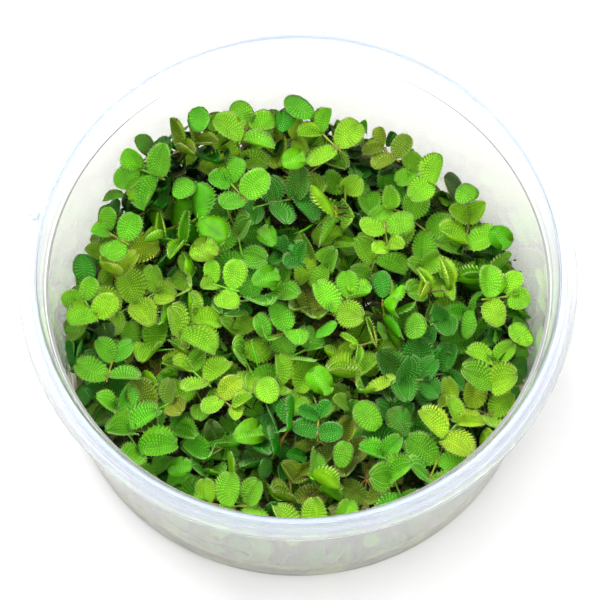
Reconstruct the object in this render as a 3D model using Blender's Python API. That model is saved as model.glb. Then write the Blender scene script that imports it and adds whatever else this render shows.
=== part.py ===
"""Salvinia in its tub: small floating ferns crowded into a round clear plastic tub.

The tub is one moulded piece with a rolled rim. The plants on top are one solid each, that
grew as one piece: a short rhizome, and at every node of it a pair of oval leaves above
and a root-like leaf below. The many plants underneath them, matted together, are one
lumpy solid. Metres, +Z up, origin at the middle of the tub's flat underside.
"""
import math

import bmesh
import bpy
import numpy as np
from mathutils.bvhtree import BVHTree

MM = 0.001

# Driving dimensions of the tub
TUB_HEIGHT = 49 * MM
RIM_RADIUS = 59 * MM        # outer edge of the flange, the tub's widest place
BEAD_RADIUS = 55.7 * MM     # crest of the rolled rim, the tub's highest place
LEDGE_RADIUS = 53.1 * MM    # outside of the wall under the lid's ledge
BASE_RADIUS = 50.5 * MM
LEDGE_DROP = 6.7 * MM       # from the crest of the rim down to the ledge
PLASTIC = 0.7 * MM
TUB_STEPS = 40

# Driving dimensions of a plant; angles are in radians
PAIRS = 3
FULL_GROWN = 44             # plants with all pairs of leaves; the others are young, with one less
VIGOUR = (0.88, 1.06)       # size of a plant against the dimensions below
INTERNODE = 4.8 * MM
NODE_LENGTH = 1.1 * MM
RHIZOME_RADIUS = 0.45 * MM
BEND = 0.25                 # largest turn of the rhizome at a node
END_LENGTH = 2 * MM         # of the pointed ends of the rhizome, past the middle of the last node
ROOT_LENGTH = 3.2 * MM
ROOT_LEAN = 1 * MM          # of a root's tip, back along the rhizome
LEAF_LENGTH = 7.6 * MM
LEAF_BREADTH = 0.9          # share of the length
LEAF_THICKNESS = 0.5 * MM
LEAF_SECTIONS = ((0.32, 0.76), (0.74, 0.9))     # share of the length, share of the full breadth
YOUNG_LEAF_SECTIONS = ((0.58, 0.96),)
LEAF_TIP = (1.0, 0.36)
PAIR_SIZE = (1.0, 1.04, 0.82)
FAN = (2.0, 1.46, 0.98)     # leaves point back, sideways and forward of the rhizome's heading
RISE = (0.12, 0.75)         # lowest and highest slope of a pair of leaves above the rhizome
FOLD = (0.05, 0.6)          # how far each half of a leaf is folded up along its midrib
DROOP = (-0.12, 0.1)        # how far a leaf's tip bends down, as a share of its length
GROWTH_SEED = 4171

# How the plants lie
GAP = 0.3 * MM
PILE_HEIGHT = 13 * MM       # of the heap along the front and the right, above the base
MOUND_HEIGHT = 11 * MM      # further rise of the heap at the back left
MOUND_CENTRE = (-18 * MM, 40 * MM)
MOUND_WIDTH = 26 * MM
TILT_SPREAD = 0.42          # usual lean of a plant, in radians
TILT_LIMIT = 0.8
FLIPPED_EVERY = 7           # one plant in this many lies on its side or back
FLIPPED_TILT = (1.0, 2.4)
RHIZOME_DEPTH = 4 * MM      # of the upper plants, under the top of the heap
MAT_DEPTH = 8.3 * MM        # of the matted plants' top, under the top of the heap
MAT_LUMPS = 0.7 * MM
MAT_SHARES = (0.2, 0.4, 0.6, 0.8, 0.97)    # of the tub's inside radius, for the rings of its top
MAT_FOOT_SHARE = 0.98
MAT_STEPS = 30
ATTITUDES = 6               # ways of lying that are tried at each place
STEP = 1.2 * MM             # between the places that are tried

# Where the plants of the upper layer lie, seen from above with the back of the tub at +Y:
# x and y in millimetres and the heading of the rhizome in degrees
UPPER_PLANTS = (
    (6, 44, 40), (-13, 40, 60), (-29, 37, 75), (-25, 27, 100), (-36, 25, 95), (18, 42, 20),
    (22, 33, 150), (-4, 32, 200), (10, 30, 80), (34, 26, 100), (43, 13, 120), (-13, 24, 110),
    (3, 20, 160), (20, 19, 60), (32, 14, 110), (-38, 12, 30), (-45, 1, 80), (-25, 12, 50),
    (-10, 11, 20), (-31, 0, 170), (-24, -8, 300), (-42, -12, 100), (5, 7, 180), (-12, -3, 120),
    (19, 5, 150), (38, 1, 100), (28, -8, 10), (13, -9, 120), (0, -13, 160), (-31, -18, 180),
    (-18, -21, 50), (-5, -25, 20), (8, -23, 150), (39, -16, 160), (20, -23, 100), (31, -29, 70),
    (-38, -28, 120), (-28, -35, 130), (-14, -36, 290), (-1, -37, 100), (13, -36, 60), (24, -40, 110),
    (2, -46, 10), (-15, -46, 170), (1, -3, 30), (2, -30, 0), (45, -7, 95), (38, -27, 50),
    (-18, -8, 130), (-4, 46, 5), (-42, 20, 100), (-20, 4, 60), (6, 36, 140), (13, 10, 45),
    (27, -13, 10), (-46, -8, 90), (-34, -9, 20), (27, 40, 150),
)


def unit(vector):
    return vector / np.linalg.norm(vector)


def turned(vector, axis, angle):
    """The vector turned about a unit axis: its part along the axis stays, the rest goes round."""
    along = axis * np.dot(vector, axis)
    return along + (vector - along) * math.cos(angle) + np.cross(axis, vector) * math.sin(angle)


def grow(number):
    """One plant in its own axes, with the rhizome along +X: its nodes and its leaves.

    A node is a point and the direction ahead. A leaf is the node it grows from, its side,
    its length, its direction, the normal of its upper face, its fold and its droop.
    """
    draw = np.random.default_rng(GROWTH_SEED + number)
    vigour = draw.uniform(*VIGOUR)
    bend = draw.uniform(-BEND, BEND)
    heading = -bend
    point = np.array([-INTERNODE * vigour, 0.0, 0.0])
    nodes = []
    leaves = []
    for pair in range(0 if number < FULL_GROWN else 1, PAIRS):
        ahead = np.array([math.cos(heading), math.sin(heading), 0.0])
        nodes.append((point, ahead))
        pair_rise = draw.uniform(*RISE)
        pair_fold = draw.uniform(*FOLD)
        for side in (1, -1):
            azimuth = heading + side * (FAN[pair] + draw.uniform(-0.1, 0.1))
            rise = pair_rise + draw.uniform(-0.1, 0.15)
            along = np.array([
                math.cos(azimuth) * math.cos(rise),
                math.sin(azimuth) * math.cos(rise),
                math.sin(rise),
            ])
            upward = unit(np.array([0.0, 0.0, 1.0]) - along * along[2])
            leaves.append({
                "node": len(nodes) - 1,
                "youngest": pair == PAIRS - 1,
                "side": side,
                "length": LEAF_LENGTH * PAIR_SIZE[pair] * vigour * draw.uniform(0.94, 1.06),
                "along": along,
                "up": turned(upward, along, draw.uniform(-0.2, 0.2)),
                "fold": pair_fold * draw.uniform(0.8, 1.2),
                "droop": draw.uniform(*DROOP),
            })
        point = point + ahead * INTERNODE * vigour
        heading += bend
    return nodes, leaves


def attitude(number, heading, choice):
    """One of the turns that can lay a plant down: tilted about a level axis, then headed."""
    draw = np.random.default_rng((GROWTH_SEED, number, choice))
    tilt = min(abs(draw.normal(0.0, TILT_SPREAD)), TILT_LIMIT)
    if number % FLIPPED_EVERY == FLIPPED_EVERY // 2:
        tilt = draw.uniform(*FLIPPED_TILT)
    lean = draw.uniform(0.0, 2.0 * math.pi)
    axis = np.array([math.cos(lean), math.sin(lean), 0.0])
    upright = np.array([0.0, 0.0, 1.0])
    columns = [turned(turned(column, axis, tilt), upright, heading) for column in np.eye(3)]
    return np.array(columns).T


def leaf_section(base, leaf, share, breadth, swell):
    """Four points round a leaf at a share of its length: far edge, top, near edge, bottom."""
    across = np.cross(leaf["along"], leaf["up"])
    half = 0.5 * leaf["length"] * LEAF_BREADTH * breadth + swell
    thick = 0.5 * LEAF_THICKNESS + swell
    reach = share * (leaf["length"] + swell)
    middle = base + leaf["along"] * reach - leaf["up"] * leaf["droop"] * reach * share
    lifted = leaf["up"] * half * math.sin(leaf["fold"])
    spread = across * half * math.cos(leaf["fold"])
    return [middle + spread + lifted, middle + leaf["up"] * thick,
            middle - spread + lifted, middle - leaf["up"] * thick]


def plant_solid(number, swell=0.0):
    """Points and faces of one plant as one closed skin, grown fatter by swell.

    The rhizome has three sides: low on the left, on top and low on the right. At a node its
    two upper sides open into the leaves and its flat underside runs out into the root-like
    leaf. The youngest leaves have one section less than the others.
    """
    nodes, leaves = grow(number)
    points = []
    faces = []

    def add(new_points):
        first = len(points)
        points.extend(new_points)
        return list(range(first, first + len(new_points)))

    def bridge(ring, other):
        for i in range(len(ring)):
            j = (i + 1) % len(ring)
            faces.append((ring[i], ring[j], other[j], other[i]))

    def open_towards(socket, section):
        """The corners of a socket, in the order that faces a leaf's section with least twist."""
        start = np.array([points[corner] for corner in socket])
        start = start - start.mean(axis=0)
        end = np.array(section) - np.mean(section, axis=0)
        turns = [np.sum(np.roll(start, -turn, axis=0) * end) for turn in range(4)]
        best = int(np.argmax(turns))
        return socket[best:] + socket[:best]

    def cone(ring, apex):
        tip = add([apex])[0]
        for i in range(len(ring)):
            faces.append((ring[i], ring[(i + 1) % len(ring)], tip))

    level = np.array([0.0, 0.0, 1.0])
    radius = RHIZOME_RADIUS + swell
    underside = -level * 0.4 * radius
    rings = []
    for point, ahead in nodes:
        left = np.cross(level, ahead)
        for end in (-1, 1):
            centre = point + ahead * 0.5 * NODE_LENGTH * end
            rings.append(add([centre + left * radius + underside,
                              centre + level * radius,
                              centre - left * radius + underside]))
    for pair, (point, ahead) in enumerate(nodes):
        back, front = rings[2 * pair], rings[2 * pair + 1]
        root_tip = point - level * (ROOT_LENGTH + swell) - ahead * ROOT_LEAN
        cone([back[0], back[2], front[2], front[0]], root_tip)
        if pair:
            bridge(rings[2 * pair - 1], back)
    cone(rings[0], nodes[0][0] - nodes[0][1] * (END_LENGTH + swell))
    cone(rings[-1], nodes[-1][0] + nodes[-1][1] * (END_LENGTH + swell))
    for leaf in leaves:
        base = nodes[leaf["node"]][0]
        back, front = rings[2 * leaf["node"]], rings[2 * leaf["node"] + 1]
        if leaf["side"] > 0:
            socket = [front[0], front[1], back[1], back[0]]
        else:
            socket = [back[2], back[1], front[1], front[2]]
        sections = YOUNG_LEAF_SECTIONS if leaf["youngest"] else LEAF_SECTIONS
        ring = open_towards(socket, leaf_section(base, leaf, *sections[0], swell))
        for share, breadth in sections:
            outer = add(leaf_section(base, leaf, share, breadth, swell))
            bridge(ring, outer)
            ring = outer
        tip = leaf_section(base, leaf, *LEAF_TIP, swell)
        far, near = add([tip[0], tip[2]])
        far_edge, top, near_edge, bottom = ring
        faces += [(far_edge, top, far), (top, near, far), (top, near_edge, near),
                  (near_edge, bottom, near), (bottom, far, near), (bottom, far_edge, far)]
    return np.array(points), faces


def split(points, faces):
    """Triangles of a skin: each four-sided face is cut along its shorter diagonal."""
    triangles = []
    for face in faces:
        if len(face) == 3:
            triangles.append(face)
            continue
        a, b, c, d = face
        if np.linalg.norm(points[a] - points[c]) < np.linalg.norm(points[b] - points[d]):
            triangles += [(a, b, c), (a, c, d)]
        else:
            triangles += [(a, b, d), (b, c, d)]
    return triangles


def wall_inside(height):
    """Inside radius of the tub's wall at a height, at the middle of one of its flat facets."""
    share = height / (TUB_HEIGHT - LEDGE_DROP)
    corner = BASE_RADIUS + (LEDGE_RADIUS - BASE_RADIUS) * share - PLASTIC
    return corner * math.cos(math.pi / TUB_STEPS)


def pile_surface(x, y):
    """Height of the heap of plants: level in front, with a round mound at the back left."""
    off = np.hypot(x - MOUND_CENTRE[0], y - MOUND_CENTRE[1]) / MOUND_WIDTH
    return PILE_HEIGHT + MOUND_HEIGHT * np.exp(-off * off)


def material(name, colour, roughness, alpha=1.0):
    made = bpy.data.materials.new(name)
    made.use_nodes = True
    shader = made.node_tree.nodes["Principled BSDF"]
    shader.inputs["Base Color"].default_value = (*colour, 1.0)
    shader.inputs["Roughness"].default_value = roughness
    shader.inputs["Metallic"].default_value = 0.0
    shader.inputs["Alpha"].default_value = alpha
    made.diffuse_color = (*colour, alpha)
    return made


def object_from(name, mesh, finish, smooth):
    mesh.materials.append(finish)
    if smooth:
        mesh.shade_smooth()
        mesh.set_sharp_from_angle(angle=math.radians(35))
    made = bpy.data.objects.new(name, mesh)
    bpy.context.scene.collection.objects.link(made)
    return made


def tub_profile():
    """Outline of the tub's wall from the middle of its floor, over the rim, to its underside."""
    ledge_height = TUB_HEIGHT - LEDGE_DROP
    return (
        (0.0, PLASTIC),
        (BASE_RADIUS - PLASTIC, PLASTIC),
        (LEDGE_RADIUS - PLASTIC, ledge_height),
        (LEDGE_RADIUS, ledge_height + 0.3 * MM),
        (BEAD_RADIUS - 1.2 * MM, TUB_HEIGHT - 1.0 * MM),
        (BEAD_RADIUS, TUB_HEIGHT),
        (BEAD_RADIUS + 1.4 * MM, TUB_HEIGHT - 0.6 * MM),
        (RIM_RADIUS, TUB_HEIGHT - 2.4 * MM),
        (RIM_RADIUS - 0.3 * MM, TUB_HEIGHT - 3.6 * MM),
        (BEAD_RADIUS + 0.8 * MM, TUB_HEIGHT - 2.2 * MM),
        (LEDGE_RADIUS + 0.8 * MM, ledge_height - 0.5 * MM),
        (BASE_RADIUS, 0.4 * MM),
        (BASE_RADIUS - 0.4 * MM, 0.0),
        (0.0, 0.0),
    )


def make_tub():
    """The profile spun once round the Z axis."""
    skin = bmesh.new()
    outline = [skin.verts.new((radius, 0.0, height)) for radius, height in tub_profile()]
    edges = [skin.edges.new(pair) for pair in zip(outline, outline[1:])]
    bmesh.ops.spin(skin, geom=outline + edges, cent=(0, 0, 0), axis=(0, 0, 1),
                   angle=2 * math.pi, steps=TUB_STEPS)
    bmesh.ops.remove_doubles(skin, verts=skin.verts, dist=0.01 * MM)
    bmesh.ops.recalc_face_normals(skin, faces=skin.faces)
    mesh = bpy.data.meshes.new("tub")
    skin.to_mesh(mesh)
    skin.free()
    object_from("tub", mesh, material("clear_plastic", (0.9, 0.93, 0.93), 0.12, 0.35), True)


def mat_surface(x, y):
    """Height of the matted plants' top: the heap's own form, lower by their depth, with lumps."""
    lumps = np.sin(x / (4.1 * MM) + 1.3) * np.cos(y / (3.7 * MM)) + np.sin((x + y) / (6.3 * MM))
    return pile_surface(x, y) - MAT_DEPTH + MAT_LUMPS * lumps


def make_matted_plants():
    """A lumpy disc on the tub's floor: rings of its top from the middle out, then one at its
    foot along the wall. Returns its tree."""
    skin = bmesh.new()
    foot = PLASTIC + GAP
    angles = 2 * math.pi * np.arange(MAT_STEPS) / MAT_STEPS
    x = np.cos(angles) * (wall_inside(foot) - GAP)
    y = np.sin(angles) * (wall_inside(foot) - GAP)
    rings = []
    for share in MAT_SHARES:
        heights = mat_surface(share * x, share * y)
        rings.append([skin.verts.new(corner) for corner in zip(share * x, share * y, heights)])
    rings.append([skin.verts.new((MAT_FOOT_SHARE * a, MAT_FOOT_SHARE * b, foot)) for a, b in zip(x, y)])
    top = skin.verts.new((0.0, 0.0, mat_surface(0.0, 0.0)))
    bottom = skin.verts.new((0.0, 0.0, foot))
    for i in range(MAT_STEPS):
        j = (i + 1) % MAT_STEPS
        for inner, outer in zip(rings, rings[1:]):
            skin.faces.new((inner[i], inner[j], outer[j], outer[i]))
        skin.faces.new((top, rings[0][j], rings[0][i]))
        skin.faces.new((bottom, rings[-1][i], rings[-1][j]))
    bmesh.ops.triangulate(skin, faces=skin.faces)
    bmesh.ops.recalc_face_normals(skin, faces=skin.faces)
    mesh = bpy.data.meshes.new("matted_plants")
    skin.to_mesh(mesh)
    tree = BVHTree.FromBMesh(skin)
    skin.free()
    object_from("matted_plants", mesh, material("matted_leaves", (0.10, 0.20, 0.04), 0.6), False)
    return tree


def moves():
    """Steps away from the wanted place, the shortest first; a step up counts as a longer one."""
    spots = [(dx * STEP, dy * STEP, dz * STEP)
             for dx in range(-8, 9) for dy in range(-8, 9) for dz in range(-7, 11)]
    return sorted(spots, key=lambda spot: math.hypot(spot[0], spot[1], max(spot[2] * 1.6, -spot[2])))


def in_the_open(points):
    """Whether points lie inside the tub's wall and above the matted plants."""
    x, y, z = points.T
    return (np.hypot(x, y) < wall_inside(z) - GAP).all() and (z > mat_surface(x, y)).all()


def find_place(number, wanted, heading, laid):
    """The nearest place where a plant lies inside the tub and clear of the plants laid before."""
    turns = [attitude(number, heading, choice) for choice in range(ATTITUDES)]
    fat_points, faces = plant_solid(number, GAP)
    faces = split(fat_points, faces)
    radius = np.linalg.norm(fat_points, axis=1).max()
    for move in moves():
        place = wanted + np.array(move)
        near = [other for other, centre, reach in laid
                if np.linalg.norm(centre - place) < radius + reach]
        for turn in turns:
            points = fat_points @ turn.T + place
            if not in_the_open(points):
                continue
            tree = BVHTree.FromPolygons(points.tolist(), faces)
            if not any(tree.overlap(other) for other in near):
                return turn, place, radius
    raise RuntimeError("no room for plant %d" % number)


def make_plants(matted):
    greens = [
        material("leaf_bright_green", (0.30, 0.62, 0.06), 0.5),
        material("leaf_green", (0.16, 0.46, 0.05), 0.5),
        material("leaf_deep_green", (0.05, 0.30, 0.04), 0.5),
        material("leaf_yellow_green", (0.48, 0.66, 0.10), 0.5),
    ]
    laid = [(matted, np.zeros(3), 2 * BASE_RADIUS)]
    for number, (x, y, heading) in enumerate(UPPER_PLANTS):
        height = pile_surface(x * MM, y * MM) - RHIZOME_DEPTH
        wanted = np.array([x * MM, y * MM, height])
        turn, place, radius = find_place(number, wanted, math.radians(heading), laid)
        points, faces = plant_solid(number)
        faces = split(points, faces)
        points = points @ turn.T + place
        mesh = bpy.data.meshes.new("plant_%02d" % (number + 1))
        mesh.from_pydata(points.tolist(), [], faces)
        skin = bmesh.new()
        skin.from_mesh(mesh)
        bmesh.ops.recalc_face_normals(skin, faces=skin.faces)
        skin.to_mesh(mesh)
        skin.free()
        object_from(mesh.name, mesh, greens[number % len(greens)], False)
        tree = BVHTree.FromPolygons(points.tolist(), faces)
        laid.append((tree, place, radius))


for existing in list(bpy.data.objects):
    bpy.data.objects.remove(existing)
make_tub()
make_plants(make_matted_plants())
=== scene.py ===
"""Salvinia in its tub: small floating ferns crowded into a round tub of clear plastic."""
import math

import bpy
import numpy as np
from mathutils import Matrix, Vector


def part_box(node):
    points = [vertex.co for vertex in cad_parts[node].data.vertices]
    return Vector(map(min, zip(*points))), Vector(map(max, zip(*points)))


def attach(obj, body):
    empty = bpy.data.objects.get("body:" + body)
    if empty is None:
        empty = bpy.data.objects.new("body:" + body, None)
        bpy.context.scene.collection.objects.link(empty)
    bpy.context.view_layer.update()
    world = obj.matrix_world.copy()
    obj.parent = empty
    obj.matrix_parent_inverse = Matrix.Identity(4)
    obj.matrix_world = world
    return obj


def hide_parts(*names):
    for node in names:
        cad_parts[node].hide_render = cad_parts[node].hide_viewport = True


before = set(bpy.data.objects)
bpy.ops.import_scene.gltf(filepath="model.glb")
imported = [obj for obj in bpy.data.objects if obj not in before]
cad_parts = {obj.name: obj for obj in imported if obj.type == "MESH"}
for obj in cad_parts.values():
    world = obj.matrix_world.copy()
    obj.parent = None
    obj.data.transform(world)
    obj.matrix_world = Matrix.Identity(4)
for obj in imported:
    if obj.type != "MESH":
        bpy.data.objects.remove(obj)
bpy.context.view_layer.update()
MM = 0.001


# The tub. It is moulded in one piece from clear polypropylene, thin and slightly milky: a flat
# floor, a flared wall, a ledge for a lid, and a rolled rim with a flange. The mark where the
# plastic was let into the mould stays on the flange.
TUB_STEPS = 384
TUB_CORNERS = (     # radius, height and size of the rounding in mm, from the floor's middle outwards
    (0, 0.7, 0), (46.2, 0.7, 0.3), (46.9, 1.0, 0.3), (50.2, 1.0, 1.0), (50.6, 9.0, 0), (52.75, 42.2, 0.15),
    (53.5, 42.5, 0.25), (53.9, 44.6, 0), (55.1, 48.2, 0.4), (55.8, 49.25, 0.8), (56.6, 48.7, 0.3),
    (57.3, 47.9, 0.4), (57.6, 46.2, 0.15), (58.75, 46.0, 0.15), (59.0, 45.6, 0.15), (58.8, 45.2, 0.15),
    (57.6, 45.1, 0.2), (57.0, 45.3, 0.2), (56.8, 47.0, 0.4), (55.8, 47.95, 0.5), (55.6, 47.2, 0.5),
    (54.5, 43.6, 0.3), (54.1, 41.6, 0.4), (53.5, 41.2, 0.3), (51.35, 9.0, 0), (50.9, 0.0, 0.8),
    (47.3, 0.0, 0.2), (46.9, 0.35, 0.2), (0, 0.35, 0),
)
PAINTED_LINE_BANDS = (      # radius in mm, and how strongly the painted bluish line shows there in the rim, a painted reflection of light refracted in the folds
    (55.4, 0), (55.8, 1.0), (56.2, 1.0), (56.6, 0.05), (57.0, 0.05), (57.3, 0.6), (57.6, 0.6), (57.9, 0),
)
PIP_PLACE = (57.1, 167.0, 48.2)     # radius in mm, angle in degrees and height in mm
PIP_SIZE = (1.1, 0.45)              # radius and height in mm
RIM_START = (40 * MM, 47 * MM)      # heights between which the wall becomes the thicker rim
PAINTED_LINE_SPAN = (50.0, 60.0)            # radii in mm between which PAINTED_LINE_BANDS lie
FOOT_SPAN = (1 * MM, 11 * MM)       # heights between which the film of old leaves thins out
TORN_SPAN = (5 * MM, 11 * MM)       # heights between which the torn leaf bits thin out
WALL_COLOUR = (0.965, 0.955, 0.925, 1.0)
FOOT_COLOUR = (0.91, 0.92, 0.70, 1.0)
RIM_COLOUR = (0.93, 0.94, 0.99, 1.0)
# Painted reflection: the bluish colour of the lines painted where the rim is folded, for the light those
# folds refract.
PAINTED_LINE_COLOUR = (0.62, 0.72, 0.9, 1.0)
TORN_COLOUR = (0.24, 0.27, 0.06, 1.0)


def rounded(corners, arc_points=3):
    """Outline through corners, each replaced by a curve that starts and ends its rounding away.

    The curve is the parabola that touches both sides: (1-k)^2 start + 2k(1-k) corner + k^2 end.
    """
    corners = np.array(corners, float)
    outline = []
    for i, (x, y, size) in enumerate(corners):
        here = np.array([x, y])
        if size == 0:
            outline.append(here[None])
            continue
        before, after = corners[i - 1, :2] - here, corners[i + 1, :2] - here
        start = here + before / np.linalg.norm(before) * size
        end = here + after / np.linalg.norm(after) * size
        k = np.linspace(0, 1, arc_points)[:, None]
        outline.append((1 - k) ** 2 * start + 2 * k * (1 - k) * here + k ** 2 * end)
    return np.concatenate(outline)


def fill_mesh(name, points, quads, triangles, materials, finish=None, looks=None):
    """Puts arrays into a mesh: points, four-sided faces, then triangles. Returns its object.

    finish is the material's number for each face; looks holds one colour or vector per point.
    """
    quads = np.asarray(quads, np.int32).reshape(-1, 4)
    triangles = np.asarray(triangles, np.int32).reshape(-1, 3)
    mesh = bpy.data.meshes.new(name)
    mesh.vertices.add(len(points))
    mesh.vertices.foreach_set("co", np.asarray(points, np.float32).ravel())
    mesh.loops.add(quads.size + triangles.size)
    mesh.loops.foreach_set("vertex_index", np.concatenate([quads.ravel(), triangles.ravel()]))
    mesh.polygons.add(len(quads) + len(triangles))
    starts = np.concatenate([np.arange(len(quads)) * 4, quads.size + np.arange(len(triangles)) * 3])
    mesh.polygons.foreach_set("loop_start", starts.astype(np.int32))
    if finish is not None:
        mesh.polygons.foreach_set("material_index", np.asarray(finish, np.int32))
    for title, values in (looks or {}).items():
        kind = "FLOAT_COLOR" if values.shape[1] == 4 else "FLOAT_VECTOR"
        layer = mesh.attributes.new(title, kind, "POINT")
        layer.data.foreach_set("color" if kind == "FLOAT_COLOR" else "vector",
                               values.astype(np.float32).ravel())
    mesh.update(calc_edges=True)
    mesh.validate()
    mesh.shade_smooth()
    for made in materials:
        mesh.materials.append(made)
    piece = bpy.data.objects.new(name, mesh)
    bpy.context.scene.collection.objects.link(piece)
    return piece


def nodes_of(material_name, finish):
    """A new material, a function that adds linked nodes, and one that joins an output to the shader.

    finish gives the shader's plain numbers and colours, each set on its own socket.
    """
    made = bpy.data.materials.new(material_name)
    made.use_nodes = True
    tree = made.node_tree
    shader = tree.nodes["Principled BSDF"]
    for socket, value in finish.items():
        shader.inputs[socket].default_value = value

    def node(kind, *links, **settings):
        """Adds a node, sets its properties, and links or sets its inputs in order."""
        added = tree.nodes.new(kind)
        for key, value in settings.items():
            setattr(added, key, value)
        for socket, source in enumerate(links):
            if source is None:
                continue
            if isinstance(source, bpy.types.NodeSocket):
                tree.links.new(source, added.inputs[socket])
            else:
                added.inputs[socket].default_value = source
        return added

    def join(source, socket):
        """Links an output to a socket of the shader."""
        tree.links.new(source, shader.inputs[socket])

    return made, node, join


def colour_mix(node, factor, first, second):
    """Output of a colour mix of two colours, each a socket or four numbers."""
    mix = node("ShaderNodeMix", data_type="RGBA")
    for source, socket in ((factor, 0), (first, 6), (second, 7)):
        if isinstance(source, bpy.types.NodeSocket):
            mix.id_data.links.new(source, mix.inputs[socket])
        else:
            mix.inputs[socket].default_value = source
    return mix.outputs[2]


def rescaled(node, source, low, high, first, last):
    """Output that goes from first to last while the source goes from low to high."""
    return node("ShaderNodeMapRange", source, low, high, first, last).outputs[0]


def noise(node, place, scale, detail, roughness):
    """Output of a cloudy pattern, from 0 to 1."""
    return node("ShaderNodeTexNoise", place, None, scale, detail, roughness).outputs["Fac"]


def product(node, first, second):
    """Output of one number times another."""
    return node("ShaderNodeMath", first, second, operation="MULTIPLY").outputs[0]


def times(node, colour, factors):
    """Output of a colour or a place times three factors."""
    return node("ShaderNodeVectorMath", colour, factors, operation="MULTIPLY").outputs[0]


def plus(node, colour, more):
    """Output of a colour with three numbers added."""
    return node("ShaderNodeVectorMath", colour, more, operation="ADD").outputs[0]


def clear_plastic():
    """Clear polypropylene, its gloss a little uneven from the mould.

    The wall is clearest at its foot. Torn bits and a film of old leaves cling to it there and make
    it olive. Where the rim is folded, bluish lines are painted into the colour: a painted reflection
    of the light that the folds refract.
    """
    made, node, join = nodes_of("clear_plastic", {"IOR": 1.49})
    place = node("ShaderNodeTexCoord").outputs["Object"]
    height = node("ShaderNodeSeparateXYZ", place).outputs["Z"]
    thick = rescaled(node, height, *RIM_START, 0.0, 1.0)
    radius = node("ShaderNodeVectorMath", times(node, place, (1.0, 1.0, 0.0)), operation="LENGTH")
    start, end = PAINTED_LINE_SPAN
    painted_lines = node("ShaderNodeValToRGB",
                 rescaled(node, radius.outputs["Value"], start * MM, end * MM, 0.0, 1.0))
    while len(painted_lines.color_ramp.elements) < len(PAINTED_LINE_BANDS):
        painted_lines.color_ramp.elements.new(0.5)
    for element, (reach, share) in zip(painted_lines.color_ramp.elements, PAINTED_LINE_BANDS):
        element.position = (reach - start) / (end - start)
        element.color = (share, share, share, 1.0)
    # Painted reflection: the bluish lines of the rim's folds, where the plastic is also made less clear.
    fold = product(node, painted_lines.outputs["Color"], thick)
    foot = rescaled(node, height, *FOOT_SPAN, 1.0, 0.0)
    torn = rescaled(node, noise(node, place, 150.0, 4.0, 0.65), 0.5, 0.58, 0.0, 1.0)
    stain = product(node, torn, rescaled(node, height, *TORN_SPAN, 0.8, 0.0))
    colour = colour_mix(node, foot, WALL_COLOUR, FOOT_COLOUR)
    colour = colour_mix(node, thick, colour, RIM_COLOUR)
    colour = colour_mix(node, stain, colour, TORN_COLOUR)
    join(colour_mix(node, fold, colour, PAINTED_LINE_COLOUR), "Base Color")
    clear = rescaled(node, foot, 0.0, 1.0, 0.86, 0.94)
    clear = rescaled(node, stain, 0.0, 1.0, clear, 0.2)
    join(rescaled(node, fold, 0.0, 1.0, clear, 0.6), "Transmission Weight")
    haze = noise(node, place, 55.0, 4.0, 0.6)
    join(rescaled(node, haze, 0.3, 0.7, 0.04, 0.07), "Roughness")
    return made


def ring_faces(rings, count):
    """Four-sided faces between rings of count points each, every ring closed on itself."""
    i = np.arange(rings - 1)[:, None] * count
    k = np.arange(count)[None]
    following = (k + 1) % count
    faces = np.stack([i + k, i + count + k, i + count + following, i + following], axis=-1)
    return faces.reshape(-1, 4)


def end_faces(rings, count):
    """Triangles from the first and the last ring to the two points that follow all the rings."""
    k = np.arange(count)
    following = (k + 1) % count
    first = rings * count
    base = first - count
    return np.concatenate([np.stack([0 * k + first, k, following], axis=-1),
                           np.stack([0 * k + first + 1, base + following, base + k], axis=-1)])


def tub_surface():
    """The outline spun about the Z axis: (radius cos a, radius sin a, height) for every angle a."""
    outline = rounded(TUB_CORNERS) * MM
    radius, height = outline[1:-1].T[..., None]
    angle = np.arange(TUB_STEPS)[None] * 2 * math.pi / TUB_STEPS
    spun = np.stack([radius * np.cos(angle), radius * np.sin(angle), height + 0 * angle], axis=-1)
    points = np.concatenate([spun.reshape(-1, 3), [[0, 0, outline[0, 1]], [0, 0, outline[-1, 1]]]])
    return points, ring_faces(len(radius), TUB_STEPS), end_faces(len(radius), TUB_STEPS)


def pip_surface(rings=5, steps=16):
    """The moulding mark, a closed lens: (radius sin b cos a, radius sin b sin a, height cos b)."""
    b = np.linspace(0, math.pi, rings + 2)[1:-1, None]
    a = np.arange(steps)[None] * 2 * math.pi / steps
    wide, tall = PIP_SIZE[0] * MM, PIP_SIZE[1] * MM
    lens = np.stack([wide * np.sin(b) * np.cos(a), wide * np.sin(b) * np.sin(a),
                     tall * np.cos(b) + 0 * a], axis=-1)
    radius, angle, height = PIP_PLACE
    angle = math.radians(angle)
    centre = np.array([radius * math.cos(angle), radius * math.sin(angle), height]) * MM
    points = np.concatenate([lens.reshape(-1, 3), [[0, 0, tall], [0, 0, -tall]]]) + centre
    return points, ring_faces(rings, steps), end_faces(rings, steps)


tub_points, tub_quads, tub_caps = tub_surface()
pip_points, pip_quads, pip_caps = pip_surface()
tub = fill_mesh("clear_tub", np.concatenate([tub_points, pip_points]),
                np.concatenate([tub_quads, pip_quads + len(tub_points)]),
                np.concatenate([tub_caps, pip_caps + len(tub_points)]), [clear_plastic()])
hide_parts("tub")
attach(tub, "root")


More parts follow.
